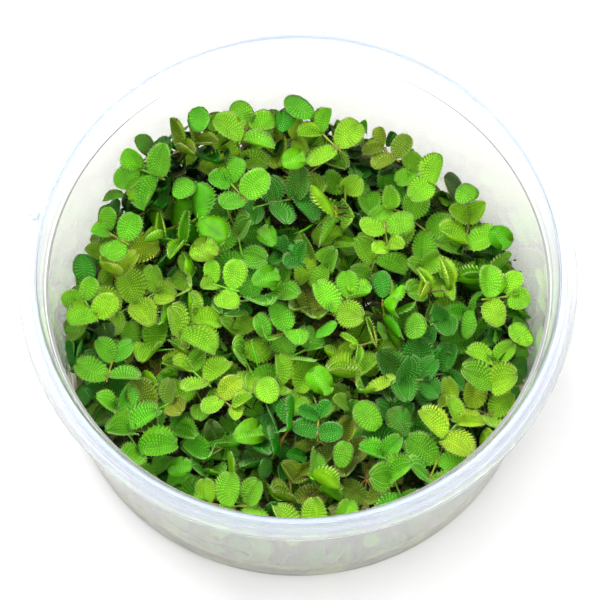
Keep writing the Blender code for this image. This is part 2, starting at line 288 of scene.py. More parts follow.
# The upper plants, each grown as one piece: a short rhizome with a pair of floating leaves at
# every node, and under them the third leaf, split into brown threads like roots. They lie loose
# on each other. Each is grown from its solid's own seeded draws, and so lies where that does.
PAIRS = 3                   # of leaves on a plant, the oldest pair first
FULL_GROWN = 44             # so many plants are; the rest are young and lack the oldest pair
VIGOUR = (0.88, 1.06)       # least and most size of a plant
INTERNODE = 4.8 * MM
NODE_LENGTH = 1.1 * MM
RHIZOME_RADIUS = 0.45 * MM
BEND = 0.25                 # radians from node to node, at most
END_LENGTH = 2 * MM
ROOT_LENGTH = 3.2 * MM
ROOT_LEAN = 1 * MM
LEAF_LENGTH = 7.6 * MM
LEAF_BREADTH = 0.9
LEAF_THICKNESS = 0.5 * MM
LEAF_SECTIONS = ((0.32, 0.76), (0.74, 0.9))     # of the solid: shares of the length, of the breadth
YOUNG_LEAF_SECTIONS = ((0.58, 0.96),)
LEAF_TIP = (1.0, 0.36)
PAIR_SIZE = (1.0, 1.04, 0.82)
FAN = (2.0, 1.46, 0.98)     # radians between the rhizome and the leaves of each pair
RISE = (0.12, 0.75)         # radians of a leaf above the rhizome's level
FOLD = (0.05, 0.6)          # radians that each half of a leaf is folded up
DROOP = (-0.12, 0.1)        # how far the tip sinks, against the leaf's length
GROWTH_SEED = 4171
ATTITUDES = 6               # turns that were tried to lay a plant down
TILT_SPREAD = 0.42
TILT_LIMIT = 0.8
FLIPPED_EVERY = 7           # one plant in so many lies on its side or upside down
FLIPPED_TILT = (1.0, 2.4)
SAME_SIZE = 0.02 * MM       # a grown plant and its solid differ by less
LEVEL = np.array([0.0, 0.0, 1.0])

HEADINGS = (    # degrees, of the rhizomes of plant_01, plant_02 and so on
    40, 60, 75, 100, 95, 20, 150, 200, 80, 100, 120, 110, 160, 60, 110, 30, 80, 50, 20, 170,
    300, 100, 180, 120, 150, 100, 10, 120, 160, 180, 50, 20, 150, 160, 100, 70, 120, 130, 290, 100,
    60, 110, 10, 170, 30, 0, 95, 50, 130, 5, 100, 60, 140, 45, 10, 90, 20, 150,
)
TONES = {       # colour of a plant's leaves in full light
    "p": (0.35, 0.60, 0.014),      # pale yellow-green
    "b": (0.25, 0.57, 0.006),      # bright green
    "f": (0.13, 0.48, 0.004),      # fresh green
    "d": (0.022, 0.27, 0.006),     # deep green
    "o": (0.21, 0.31, 0.005),      # olive
    "s": (0.014, 0.10, 0.002),     # shaded old leaf, nearly black-green
}
PLANT_TONES = "pbbfpfbdbbffbbbppbfbbdobffdpbffdopdfffboofbbfbbpbppbbbdfob"


def unit(vector):
    """The vector divided by its length."""
    return vector / np.linalg.norm(vector)


def turned(vector, axis, angle):
    """The vector turned about a unit axis: its part along the axis stays, the rest goes round."""
    along = axis * np.dot(vector, axis)
    return along + (vector - along) * math.cos(angle) + np.cross(axis, vector) * math.sin(angle)


def grow(number):
    """One plant in its own axes, rhizome along +X: its nodes (point, ahead) and its leaves.

    The draws come in the order in which the solids drew them. A leaf is a dictionary of its
    base, direction, the normal of its upper face, its length, fold and droop.
    """
    draw = np.random.default_rng(GROWTH_SEED + number)
    vigour = draw.uniform(*VIGOUR)
    bend = draw.uniform(-BEND, BEND)
    heading = -bend
    point = np.array([-INTERNODE * vigour, 0.0, 0.0])
    nodes, leaves = [], []
    for pair in range(0 if number < FULL_GROWN else 1, PAIRS):
        ahead = np.array([math.cos(heading), math.sin(heading), 0.0])
        nodes.append((point, ahead))
        pair_rise = draw.uniform(*RISE)
        pair_fold = draw.uniform(*FOLD)
        for side in (1, -1):
            azimuth = heading + side * (FAN[pair] + draw.uniform(-0.1, 0.1))
            rise = pair_rise + draw.uniform(-0.1, 0.15)
            along = np.array([math.cos(azimuth) * math.cos(rise),
                              math.sin(azimuth) * math.cos(rise), math.sin(rise)])
            size = LEAF_LENGTH * PAIR_SIZE[pair] * vigour * draw.uniform(0.94, 1.06)
            up = turned(unit(LEVEL - along * along[2]), along, draw.uniform(-0.2, 0.2))
            leaves.append({"base": point, "pair": pair, "length": size, "along": along, "up": up,
                           "fold": pair_fold * draw.uniform(0.8, 1.2),
                           "droop": draw.uniform(*DROOP)})
        point = point + ahead * INTERNODE * vigour
        heading += bend
    return nodes, leaves


def attitude(number, heading, choice):
    """One of the turns that can lay a plant down: tilted about a level axis, then headed."""
    draw = np.random.default_rng((GROWTH_SEED, number, choice))
    tilt = min(abs(draw.normal(0.0, TILT_SPREAD)), TILT_LIMIT)
    if number % FLIPPED_EVERY == FLIPPED_EVERY // 2:
        tilt = draw.uniform(*FLIPPED_TILT)
    lean = draw.uniform(0.0, 2.0 * math.pi)
    axis = np.array([math.cos(lean), math.sin(lean), 0.0])
    return np.array([turned(turned(column, axis, tilt), LEVEL, heading) for column in np.eye(3)]).T


def solid_corners(nodes, leaves):
    """The corners of the plant's solid: rhizome rings, tips of roots and ends, leaf sections."""
    corners = []
    underside = -LEVEL * 0.4 * RHIZOME_RADIUS
    for point, ahead in nodes:
        left = np.cross(LEVEL, ahead)
        corners.append(point - LEVEL * ROOT_LENGTH - ahead * ROOT_LEAN)
        for end in (-0.5, 0.5):
            middle = point + ahead * end * NODE_LENGTH
            corners += [middle + left * RHIZOME_RADIUS + underside, middle + LEVEL * RHIZOME_RADIUS,
                        middle - left * RHIZOME_RADIUS + underside]
    corners += [nodes[0][0] - nodes[0][1] * END_LENGTH, nodes[-1][0] + nodes[-1][1] * END_LENGTH]
    for leaf in leaves:
        youngest = leaf["pair"] == PAIRS - 1
        for share, breadth in (YOUNG_LEAF_SECTIONS if youngest else LEAF_SECTIONS) + (LEAF_TIP,):
            half = 0.5 * leaf["length"] * LEAF_BREADTH * breadth
            middle = leaf["base"] + leaf["length"] * share * (
                leaf["along"] - leaf["up"] * leaf["droop"] * share)
            spread = np.cross(leaf["along"], leaf["up"]) * half * math.cos(leaf["fold"])
            lifted = leaf["up"] * half * math.sin(leaf["fold"])
            corners += [middle + spread + lifted, middle - spread + lifted]
            if share < 1.0:
                thick = leaf["up"] * 0.5 * LEAF_THICKNESS
                corners += [middle + thick, middle - thick]
    return np.array(corners)


def lying(number, nodes, leaves):
    """Turn and place of a CAD plant: the turn whose box has the node's size, moved onto it."""
    low, high = (np.array(corner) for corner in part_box("plant_%02d" % (number + 1)))
    corners = solid_corners(nodes, leaves)
    best = None
    for choice in range(ATTITUDES):
        turn = attitude(number, math.radians(HEADINGS[number]), choice)
        laid = corners @ turn.T
        miss = np.abs((laid.max(axis=0) - laid.min(axis=0)) - (high - low)).max()
        if best is None or miss < best[0]:
            best = miss, turn, 0.5 * (low + high - laid.min(axis=0) - laid.max(axis=0))
    if best[0] > SAME_SIZE:
        raise RuntimeError("plant %d differs from its CAD solid" % (number + 1))
    return best[1], best[2]


def laid_down(nodes, leaves, turn, place):
    """The plant's nodes and leaves, turned and moved to where it lies."""
    nodes = [(turn @ point + place, turn @ ahead) for point, ahead in nodes]
    leaves = [{**leaf, "base": turn @ leaf["base"] + place, "along": turn @ leaf["along"],
               "up": turn @ leaf["up"]} for leaf in leaves]
    return nodes, leaves


STALK_SHARE = 0.05          # of a leaf's length, from the rhizome to the blade
BLADE_SHARE = 0.95          # of a leaf's length, the blade's own
HALF_BREADTH = 0.43         # of the blade against the leaf's length
RIB_SWEEP = 0.8             # how far the ribs run forward to the margin
RIB_SAG = 0.045             # how far a rib's middle hangs back, against the length
LAST_RIB = 0.965            # where along the midrib the last rib starts
SWING = (0.1, 0.86)         # where on the margin's half oval the first rib ends, and how far all reach
NOTCH_REACH = 0.7           # radians round the oval
OVAL_POWER = 0.9
FOLD_ROUNDING = 0.4         # power that rounds the fold between midrib and margin
MARGIN_WAVES = 9            # radians of the margin's wave along the leaf
ROWS = 28                   # of warts along a full-grown leaf, each row following a rib
COLUMNS = 7                 # of warts from its midrib to the margin
BLADE_THICKNESS = 0.24 * MM
WART = 0.08 * MM            # height of a wart, and depth of the hollow beside it
GROOVE = 0.08 * MM          # depth of the upper face's groove along the midrib
GROOVE_WIDTH = 0.1          # against the leaf's half breadth, as the two below
SMOOTH_WIDTH = 0.14         # beside the midrib, where the warts grow flatter
KEEL_WIDTH = 0.2
KEEL = 0.8                  # how much thicker the blade is under the midrib
UNDER_PLACES = (0.55, 0.0, -0.55)   # along the ribs, of the under face's points
TOOTH = 1.04                # how far a wart on the margin reaches out, against the blade
CUPS = ((-0.12, -0.02), (0.0, 0.12), (0.12, 0.32))      # arched, flat and cupped leaves
CUP_SHARES = (0.3, 0.35, 0.35)
AGES = ((0.2, 0.75), (0.05, 0.35), (0.0, 0.15))         # of the leaves of each pair
HAIRY_COLUMNS = (3, 5)
HAIR_LENGTHS = (0.5, 0.55)  # in mm, on the margin and on the upper face
HAIR_RADIUS = 0.07 * MM
HAIR_CORNERS = (0.0, 2.094, 4.189)      # radians round a hair's foot
HAIR_SINK = 0.05 * MM       # of a hair's foot into the leaf
STALK_SPOTS = (0.0, 0.04, 0.09, 0.16)   # shares of the leaf's length
STALK_RADII = (0.26, 0.23, 0.2, 0.1)    # in mm, from the rhizome into the blade
BUD_GRID = (8, 2)           # rows along a bud's leaf, and columns from midrib to margin
ROOT_RADII = (0.13, 0.12, 0.1, 0.08, 0.05)
ROOT_TINT = (0.16, 0.09, 0.025)
FREE_RADIUS = 49.4 * MM     # room for roots and leaves on the tub's floor
FREE_FLOOR = 1.3 * MM


def blade_surface(leaf, t, q):
    """Points of the blade's middle layer, for rib t (0 base, 1 tip) and place q along the rib.

    q runs from 0 on the midrib to 1 or -1 on the margins. The margin is an oval: share of the
    length 0.5 - 0.5 cos(s), half breadth times sin(s + taper sin s) to the power 0.9. A rib
    starts at share t and swings forward to the oval at s = pi (0.1 + 0.86 (t + sweep t (1-t))).
    The halves rise by the fold, the tip sinks by the droop, the cup bends all margins up, and
    a wave runs along them. A notch draws the margin in where the stalk meets the blade.
    """
    reach = np.abs(q)
    swing = math.pi * (SWING[0] + SWING[1] * (t + RIB_SWEEP * t * (1 - t)))
    start = LAST_RIB * t
    end = 0.5 - 0.5 * np.cos(swing) - leaf["notch"] * np.exp(-(swing / NOTCH_REACH) ** 2)
    oval = np.sin(swing + leaf["taper"] * np.sin(swing)) ** OVAL_POWER
    half = HALF_BREADTH * leaf["breadth"] * oval
    share = start + (end - start) * reach - RIB_SAG * np.sin(math.pi * reach)
    forward = STALK_SHARE + BLADE_SHARE * share
    away = half * reach
    lift = away * math.sin(leaf["fold"]) * reach ** FOLD_ROUNDING - leaf["droop"] * forward ** 2
    lift = lift + leaf["cup"] * ((away / HALF_BREADTH) ** 2 + 0.9 * (share - 0.5) ** 2)
    wave = np.sin(MARGIN_WAVES * forward + leaf["phase"] * np.sign(q))
    lift = lift + leaf["wave"] * wave * reach ** 2
    sideways = half * q * np.cos(leaf["fold"] * reach ** FOLD_ROUNDING)
    left = np.cross(leaf["up"], leaf["along"])
    shape = forward[..., None] * leaf["along"] + sideways[..., None] * left
    return leaf["base"] + leaf["length"] * (shape + lift[..., None] * leaf["up"])


def new_heap():
    """An empty heap, to which parts are added until they become one mesh."""
    return {"points": [], "quads": [], "triangles": [], "quad_finish": [], "triangle_finish": [],
            "leaf_tint": [], "leaf_place": [], "count": 0}


def heap_on(heap, points, quads, triangles, finish, tint, place):
    """Adds a part to a heap of parts that become one mesh; finish is one number or two arrays."""
    quads, triangles = np.asarray(quads).reshape(-1, 4), np.asarray(triangles).reshape(-1, 3)
    heap["points"].append(points)
    heap["quads"].append(quads + heap["count"])
    heap["triangles"].append(triangles + heap["count"])
    of_quads, of_triangles = finish if isinstance(finish, tuple) else (finish, finish)
    heap["quad_finish"].append(np.broadcast_to(of_quads, len(quads)))
    heap["triangle_finish"].append(np.broadcast_to(of_triangles, len(triangles)))
    if np.ndim(tint) == 1:
        tint = np.broadcast_to((*tint, 1.0), (len(points), 4))
    heap["leaf_tint"].append(tint)
    heap["leaf_place"].append(np.broadcast_to(place, (len(points), 3)))
    heap["count"] += len(points)


def piece_from(name, heap, materials):
    """One object from a heap of parts."""
    finish = np.concatenate(heap["quad_finish"] + heap["triangle_finish"])
    looks = {title: np.concatenate(heap[title]) for title in ("leaf_tint", "leaf_place")}
    return fill_mesh(name, np.concatenate(heap["points"]), np.concatenate(heap["quads"]),
                     np.concatenate(heap["triangles"]), materials, finish, looks)


TOP, UNDER, HAIR, STEM, ROOT = range(5)


def add_blade(heap, leaf, under, rows=ROWS, columns=COLUMNS):
    """A leaf blade as a closed skin of rings, from the margin over the top to the other margin,
    and back underneath at the places under.

    Points of the top whose row and column add up to an even number are warts and rise by WART,
    the others are hollows and sink by it. At the margin the warts reach outwards as teeth.
    A blade with fewer rows is too coarse for warts and keeps only the teeth. Underneath, the
    blade is thickest along the midrib and in the middle of its length.
    """
    size = leaf["length"] / LEAF_LENGTH
    warty = rows == ROWS
    counted = (1, 1) if warty else (size * ROWS / rows, size * COLUMNS / columns)
    t = np.linspace(0, 1, rows + 1)[:, None]
    q = np.linspace(-1, 1, 2 * columns + 1)[None]
    row, column = np.arange(rows + 1)[:, None], np.arange(-columns, columns + 1)[None]
    wart = np.where((row + column) % 2 == 0, 1.0, -1.0)
    edge = np.abs(column) == columns
    grain = np.clip(np.abs(q) / SMOOTH_WIDTH, 0.2, 1) * np.where(edge, 0.5, 1.0)
    relief = (WART * warty * wart * grain - GROOVE * np.exp(-(q / GROOVE_WIDTH) ** 2)) * size
    top = blade_surface(leaf, t + 0 * q, q * np.where(edge & (wart > 0), TOOTH, 1.0))
    top = top + leaf["up"] * relief[..., None]
    q_under = np.array(under)[None]
    below = blade_surface(leaf, t + 0 * q_under, q_under + 0 * t)
    keel = BLADE_THICKNESS * size * (1 + KEEL * np.exp(-(q_under / KEEL_WIDTH) ** 2))
    keel = keel * (0.5 + 0.5 * np.sin(math.pi * t))
    below = below - leaf["up"] * keel[..., None]
    rings = np.concatenate([top, below], axis=1)
    count = rings.shape[1]
    fan = np.arange(1, count - 1)
    last = rows * count
    caps = np.concatenate([np.stack([0 * fan, fan, fan + 1], axis=-1),
                           np.stack([0 * fan, fan + 1, fan], axis=-1) + last])
    finish = np.where(np.tile(np.arange(count), rows) < 2 * columns, TOP, UNDER)
    place = np.zeros((rows + 1, count, 3))
    across = np.concatenate([q, q_under], axis=1)[..., None]
    place[..., 0] = row * counted[0]
    place[..., 1:2] = across * columns * counted[1]
    place[..., 2] = leaf["age"]
    outwards = np.broadcast_to(np.abs(across), (rows + 1, count, 1))
    tint = np.concatenate([np.broadcast_to(leaf["tint"], (rows + 1, count, 3)), outwards], axis=-1)
    heap_on(heap, rings.reshape(-1, 3), ring_faces(rows + 1, count), caps, (finish, UNDER),
            tint.reshape(-1, 4), place.reshape(-1, 3))


def add_hairs(heap, leaf, rows=ROWS, columns=COLUMNS, hairy_columns=HAIRY_COLUMNS):
    """Short stiff hairs as four-faced spikes: on some warts, and pointing out round the margin."""
    both_sides = [sign * column for column in (*hairy_columns, columns) for sign in (-1, 1)]
    row, column = np.meshgrid(np.arange(1, rows), both_sides)
    warts = (row + column) % 2 == 0
    t, q = row[warts] / rows, column[warts] / columns
    size = leaf["length"] / LEAF_LENGTH
    left = np.cross(leaf["up"], leaf["along"])
    margin = (np.abs(q) > 0.99)[:, None]
    foot = blade_surface(leaf, t, q) + leaf["up"] * np.where(margin, 0.0, WART * size)
    outward = np.sign(q)[:, None] * left + 0.5 * (2 * t[:, None] - 1) * leaf["along"]
    ahead = np.where(margin, outward + 0.35 * leaf["up"], leaf["up"] + 0.25 * outward)
    tip = foot + ahead * size * np.where(margin, *HAIR_LENGTHS) * MM
    sideways = np.cross(ahead, leaf["along"])
    radius = HAIR_RADIUS * size
    corners = []
    for turn in HAIR_CORNERS:
        ring = math.cos(turn) * leaf["along"] + math.sin(turn) * sideways
        corners.append(foot + radius * ring - HAIR_SINK * ahead)
    points = np.stack([*corners, tip], axis=1).reshape(-1, 3)
    spike = np.array([[0, 1, 3], [1, 2, 3], [2, 0, 3], [0, 2, 1]])
    triangles = (np.arange(len(t))[:, None, None] * 4 + spike[None]).reshape(-1, 3)
    heap_on(heap, points, np.zeros((0, 4), int), triangles, HAIR, leaf["tint"],
            (0.5, 0.5, leaf["age"]))


def add_tubes(heap, paths, radius, sides, finish, tint, place=(0.5, 0.5, 0.0)):
    """Closed tubes carried along paths: circles of the given radius across each path's direction.

    paths holds one row of points for each tube; radius is one number or one for each point.
    A circle's first axis is at right angles to the path and to a helper, the Z axis, or the X
    axis for a steep tube. Its second is at right angles to the path and to the first.
    """
    paths = np.asarray(paths, float)
    tubes, steps, _ = paths.shape
    ahead = np.gradient(paths, axis=1)
    ahead /= np.linalg.norm(ahead, axis=2, keepdims=True)
    chord = paths[:, -1] - paths[:, 0]
    helper = np.where(np.abs(chord[:, 2:3]) < 0.8 * np.linalg.norm(chord, axis=1, keepdims=True),
                      [[0.0, 0.0, 1.0]], [[1.0, 0.0, 0.0]])
    side = np.cross(ahead, helper[:, None])
    side /= np.linalg.norm(side, axis=2, keepdims=True)
    other = np.cross(ahead, side)
    angle = np.arange(sides) * 2 * math.pi / sides
    radius = np.broadcast_to(radius, (tubes, steps))[..., None, None]
    rings = paths[:, :, None] + radius * (np.cos(angle)[:, None] * side[:, :, None]
                                          + np.sin(angle)[:, None] * other[:, :, None])
    grown = radius[:, :, 0]
    ends = np.stack([paths[:, 0] - ahead[:, 0] * grown[:, 0],
                     paths[:, -1] + ahead[:, -1] * grown[:, -1]], axis=1)
    points = np.concatenate([rings.reshape(tubes, -1, 3), ends], axis=1)
    quads = ring_faces(steps, sides)[:, [0, 3, 2, 1]]
    caps = end_faces(steps, sides)[:, [0, 2, 1]]
    shift = np.arange(tubes)[:, None, None] * points.shape[1]
    heap_on(heap, points.reshape(-1, 3), (quads[None] + shift).reshape(-1, 4),
            (caps[None] + shift).reshape(-1, 3), finish, tint, place)


def shape_leaf(leaf, draw):
    """Gives a leaf what its solid leaves open: outline, roll, cupping and waves."""
    leaf["breadth"] = draw.uniform(0.93, 1.07)
    leaf["taper"] = draw.uniform(-0.22, 0.12)
    leaf["notch"] = draw.uniform(0.02, 0.08)
    leaf["fold"] = leaf["fold"] + draw.uniform(0.0, 0.25)
    leaf["cup"] = draw.choice([draw.uniform(*span) for span in CUPS], p=CUP_SHARES)
    leaf["wave"] = draw.uniform(0.0, 0.02)
    leaf["phase"] = draw.uniform(0, 6.28)
    leaf["up"] = turned(leaf["up"], leaf["along"], draw.normal(0.0, 0.22))


def tint_leaf(leaf, draw, tone):
    """Gives a leaf its age and its tint; the youngest pair is a little lighter."""
    ages = [draw.uniform(*span) for span in AGES]
    leaf["age"] = ages[leaf["pair"]] + (0.35 if tone == "o" else 0.0)
    shade = np.array(TONES[tone]) * draw.uniform(0.84, 1.14) * (1.08 if leaf["pair"] == 2 else 1.0)
    warm = draw.uniform(-1, 1)
    leaf["tint"] = shade * np.array([1 + 0.28 * warm, 1 + 0.02 * warm, 1 - 0.2 * warm])


def add_plant(heap, nodes, leaves, draw, tone, rows=ROWS, columns=COLUMNS,
              hairy_columns=HAIRY_COLUMNS):
    """A whole plant: blades, hairs, stalks, rhizome, growing tip and the threads below the nodes."""
    for leaf in leaves:
        tint_leaf(leaf, draw, tone)
        add_blade(heap, leaf, UNDER_PLACES, rows, columns)
        add_hairs(heap, leaf, rows, columns, hairy_columns)
    tint = np.array(TONES["o" if draw.uniform() < 0.5 else "f"])
    stalks = []
    for leaf in leaves:
        share = np.array(STALK_SPOTS)[:, None]
        sunk = leaf["up"] * (leaf["droop"] * share ** 2 + 0.02)
        stalks.append(leaf["base"] + leaf["length"] * (leaf["along"] * share - sunk))
    add_tubes(heap, stalks, np.array(STALK_RADII) * MM, sides=5, finish=STEM, tint=tint)
    oldest = nodes[0][0] - nodes[0][1] * END_LENGTH * 0.8
    youngest = nodes[-1][0] + nodes[-1][1] * END_LENGTH * 0.7
    joints = np.array([oldest, *[point for point, _ in nodes], youngest])
    knots = np.linspace(0, len(joints) - 1, 4 * (len(joints) - 1) + 1)
    path = np.stack([np.interp(knots, np.arange(len(joints)), joints[:, axis])
                     for axis in range(3)], axis=1)
    swell = 0.3 + 0.1 * np.cos(2 * math.pi * knots)
    swell[0], swell[-1] = 0.14, 0.18
    add_tubes(heap, path[None], swell * MM, sides=7, finish=STEM, tint=tint)
    add_bud(heap, nodes[-1], leaves[-1]["up"], draw, tone)
    add_threads(heap, nodes, leaves, draw)


def add_bud(heap, node, upward, draw, tone):
    """The growing tip: two tiny leaves, still folded along the midrib, standing up together."""
    point, ahead = node
    left = unit(np.cross(upward, ahead))
    for side in (1, -1):
        along = unit(ahead * 0.8 + upward * draw.uniform(0.5, 1.0)
                     + left * side * draw.uniform(0.25, 0.5))
        up = unit(upward - along * np.dot(upward, along) - ahead * 0.4)
        up = unit(up - along * np.dot(up, along))
        leaf = {"base": point + ahead * 0.9 * MM, "pair": 2, "length": draw.uniform(1.7, 2.7) * MM,
                "along": along, "up": up, "fold": draw.uniform(0.6, 1.1), "droop": 0.0}
        shape_leaf(leaf, draw)
        tint_leaf(leaf, draw, tone)
        add_blade(heap, leaf, (0.5, 0.0, -0.5), *BUD_GRID)


def keep_inside(points):
    """Moves points that would be in the tub's wall or floor to just inside it."""
    out = np.hypot(points[..., 0], points[..., 1])
    points[..., :2] *= np.minimum(1.0, FREE_RADIUS / out)[..., None]
    points[..., 2] = np.maximum(points[..., 2], FREE_FLOOR)
    return points


def add_threads(heap, nodes, leaves, draw, threads=5):
    """The third leaf of each node: brown threads that fan out round the solid's root cone."""
    upward = unit(sum(leaf["up"] for leaf in leaves))
    starts, ends = [], []
    for point, ahead in nodes:
        middle = -upward * ROOT_LENGTH - ahead * ROOT_LEAN
        starts.append(np.broadcast_to(point - upward * 0.2 * MM, (threads, 3)))
        ends.append(point + middle * draw.uniform(0.6, 1.05, (threads, 1))
                    + draw.normal(0, 0.5, (threads, 3)) * MM)
    starts, ends = np.concatenate(starts)[:, None], np.concatenate(ends)[:, None]
    k = np.linspace(0, 1, 5)[None, :, None]
    bow = draw.normal(0, 0.3, (len(starts), 1, 3)) * MM
    paths = keep_inside(starts + (ends - starts) * k + bow * 4 * k * (1 - k))
    add_tubes(heap, paths, np.array(ROOT_RADII) * MM, sides=3, finish=ROOT, tint=ROOT_TINT)


def leaf_green(node):
    """Outputs shared by all green parts: the tint with soft blotches, how far out towards the
    blade's margin a point is, and the point itself."""
    look = node("ShaderNodeAttribute", attribute_name="leaf_tint")
    where = node("ShaderNodeTexCoord").outputs["Object"]
    lighter = rescaled(node, noise(node, where, 420.0, 3.0, 0.6), 0.3, 0.7, 0.8, 1.18)
    toned = node("ShaderNodeVectorMath", look.outputs["Color"], operation="SCALE")
    toned.id_data.links.new(lighter, toned.inputs["Scale"])
    return toned.outputs[0], look.outputs["Alpha"], where


def leaf_marks(node, where):
    """Outputs for a blade: its rows and its columns as waves, and how brown it is with age.

    A wave is cos(pi count), which is 1 at every even row or column and -1 at every odd one.
    """
    place = node("ShaderNodeAttribute", attribute_name="leaf_place").outputs["Vector"]
    parts = node("ShaderNodeSeparateXYZ", place).outputs
    waves = [node("ShaderNodeMath", product(node, parts[count], math.pi), operation="COSINE").outputs[0]
             for count in ("X", "Y")]
    brown = product(node, noise(node, where, 900.0, 4.0, 0.65), parts["Z"])
    return *waves, rescaled(node, brown, 0.26, 0.55, 0.0, 0.85)


def raised(node, join, strength, distance, height):
    """Lets the shader's normal follow a height pattern, with its strength and distance."""
    bump = node("ShaderNodeBump", strength, distance)
    bump.id_data.links.new(height, bump.inputs["Height"])
    join(bump.outputs[0], "Normal")


def leaf_top():
    """Upper face: hollows painted a darker green as shade, pale warts in rows, a faint midrib and a
    pale rim. The warts' paleness is partly their own whitish hairs and partly a painted highlight.

    A wart is where the waves of the rows and of the columns are both high or both low.
    """
    made, node, join = nodes_of("leaf_top", {
        "Subsurface Weight": 0.15, "Subsurface Radius": (0.5, 1.0, 0.15),
        "Subsurface Scale": 0.4 * MM, "Roughness": 0.45, "Specular IOR Level": 0.12,
        "Sheen Weight": 0.08, "Sheen Roughness": 0.35, "Sheen Tint": (0.85, 1.0, 0.7, 1.0)})
    tint, outwards, where = leaf_green(node)
    row_wave, column_wave, brown = leaf_marks(node, where)
    warts = rescaled(node, product(node, row_wave, column_wave), 0.05, 0.85, 0.0, 1.0)
    uneven = rescaled(node, noise(node, where, 1700.0, 2.0, 0.5), 0.35, 0.6, 0.5, 1.0)
    warts = product(node, warts, uneven)
    # Painted shade darkens the hollows between the warts; the warts' pale colour is partly their own
    # whitish hairs and partly a painted highlight.
    hollow = times(node, tint, (0.52, 0.73, 0.2))
    pale = plus(node, times(node, tint, (1.25, 1.12, 1.8)), (0.17, 0.14, 0.08))
    colour = colour_mix(node, warts, hollow, pale)
    colour = colour_mix(node, rescaled(node, outwards, 0.0, 0.06, 0.25, 0.0), colour, pale)
    # The pale rim is the fringe of hairs, in the warts' pale colour with its painted highlight.
    rim = rescaled(node, outwards, 0.87, 1.0, 0.0, 0.85)
    colour = colour_mix(node, rim, colour, plus(node, pale, (0.1, 0.09, 0.07)))
    join(colour_mix(node, brown, colour, (0.13, 0.075, 0.018, 1.0)), "Base Color")
    grain = noise(node, where, 5200.0, 2.0, 0.5)
    height = node("ShaderNodeMath", warts, grain, operation="ADD").outputs[0]
    raised(node, join, 1.0, 0.12 * MM, height)
    return made


def leaf_under():
    """Under face: smooth and a little see-through, with the ribs faintly seen and a plain midrib."""
    made, node, join = nodes_of("leaf_under", {
        "Subsurface Weight": 0.3, "Subsurface Radius": (0.5, 1.0, 0.15),
        "Subsurface Scale": 0.7 * MM, "Roughness": 0.4, "Specular IOR Level": 0.2})
    tint, outwards, where = leaf_green(node)
    row_wave, _, brown = leaf_marks(node, where)
    between = times(node, tint, (0.68, 0.8, 0.5))
    rib = times(node, tint, (0.46, 0.64, 0.4))
    colour = colour_mix(node, rescaled(node, row_wave, -1.0, 1.0, 0.0, 0.5), between, rib)
    colour = colour_mix(node, rescaled(node, outwards, 0.02, 0.12, 0.8, 0.0), colour, rib)
    join(colour_mix(node, brown, colour, (0.15, 0.09, 0.02, 1.0)), "Base Color")
    raised(node, join, 0.25, 0.05 * MM, noise(node, where, 2600.0, 2.0, 0.5))
    return made


def leaf_hair():
    """The stiff hairs: the leaf's own green gone pale."""
    made, node, join = nodes_of("leaf_hair", {
        "Roughness": 0.5, "Subsurface Weight": 0.2, "Subsurface Scale": 0.3 * MM})
    join(plus(node, leaf_green(node)[0], (0.32, 0.34, 0.2)), "Base Color")
    return made


def plant_stem():
    """Rhizomes and stalks: green with golden-brown stretches, moist."""
    made, node, join = nodes_of("plant_stem", {"Roughness": 0.25})
    tint, _, where = leaf_green(node)
    golden = rescaled(node, noise(node, where, 260.0, 3.0, 0.6), 0.4, 0.62, 0.0, 0.9)
    join(colour_mix(node, golden, tint, (0.2, 0.11, 0.025, 1.0)), "Base Color")
    return made


def root_thread():
    """The brown root-like threads, wet; their darkest, near black shades are painted shade of the deep
    gaps between the leaves.
    """
    made, node, join = nodes_of("root_thread", {"Roughness": 0.3, "Specular IOR Level": 0.2})
    where = node("ShaderNodeTexCoord").outputs["Object"]
    shades = node("ShaderNodeValToRGB", noise(node, where, 700.0, 3.0, 0.6))
    # Painted shade: the near black end of the ramp stands for the shade of the gaps the threads fill; the
    # lighter end is their own brown.
    darkest, lightest = shades.color_ramp.elements
    darkest.position, darkest.color = 0.35, (0.006, 0.007, 0.001, 1.0)
    lightest.position, lightest.color = 0.75, (0.07, 0.038, 0.006, 1.0)
    join(shades.outputs["Color"], "Base Color")
    return made


plant_materials = [leaf_top(), leaf_under(), leaf_hair(), plant_stem(), root_thread()]
upper_leaves = []
for number in range(len(HEADINGS)):
    plant_nodes, plant_leaves = grow(number)
    turn, place = lying(number, plant_nodes, plant_leaves)
    plant_nodes, plant_leaves = laid_down(plant_nodes, plant_leaves, turn, place)
    looks_draw = np.random.default_rng((GROWTH_SEED, number, 99))
    for leaf in plant_leaves:
        shape_leaf(leaf, looks_draw)
    plant = new_heap()
    add_plant(plant, plant_nodes, plant_leaves, looks_draw, PLANT_TONES[number])
    fern = piece_from("fern_%02d" % (number + 1), plant, plant_materials)
    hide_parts("plant_%02d" % (number + 1))
    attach(fern, "root")
    upper_leaves += plant_leaves


# The leaves along the wall, the outermost of the plants that are matted together down to the
# tub's floor. They are old leaves that cling to the wet wall and to each other like shingles.
# They go into the piece of lower leaves, and are laid first because all the rest leans on them.
PILE_HEIGHT = 13 * MM
MOUND_HEIGHT = 11 * MM
MOUND_CENTRE = (-18 * MM, 40 * MM)
MOUND_WIDTH = 26 * MM
WALL_HEAPS = (              # x, y, height and width in mm of the heaps that lean on the wall
    (-33, 37, 5, 13), (-38, 28, 4, 10), (8, 46, 3, 12), (-49, 3, 5, 9), (49, 6, 3, 9),
)
WALL_CLIMB = (6.0 * MM, 7.0 * MM)   # height and width of the plants' climb up the wall, not in front
WALL_CLIMB_FROM = (-30.0 * MM, 0.0) # where along Y the climb starts, and where it is at full height
SPRIG_TOP = 5.0 * MM        # above the heap's surface, where the upper plants' leaves are too
WALL_INSIDE = (50.2, 2.55, 42.2)    # radius of the wall at its foot, its flare and its height, in mm
FLOOR_RADIUS = 50.0 * MM
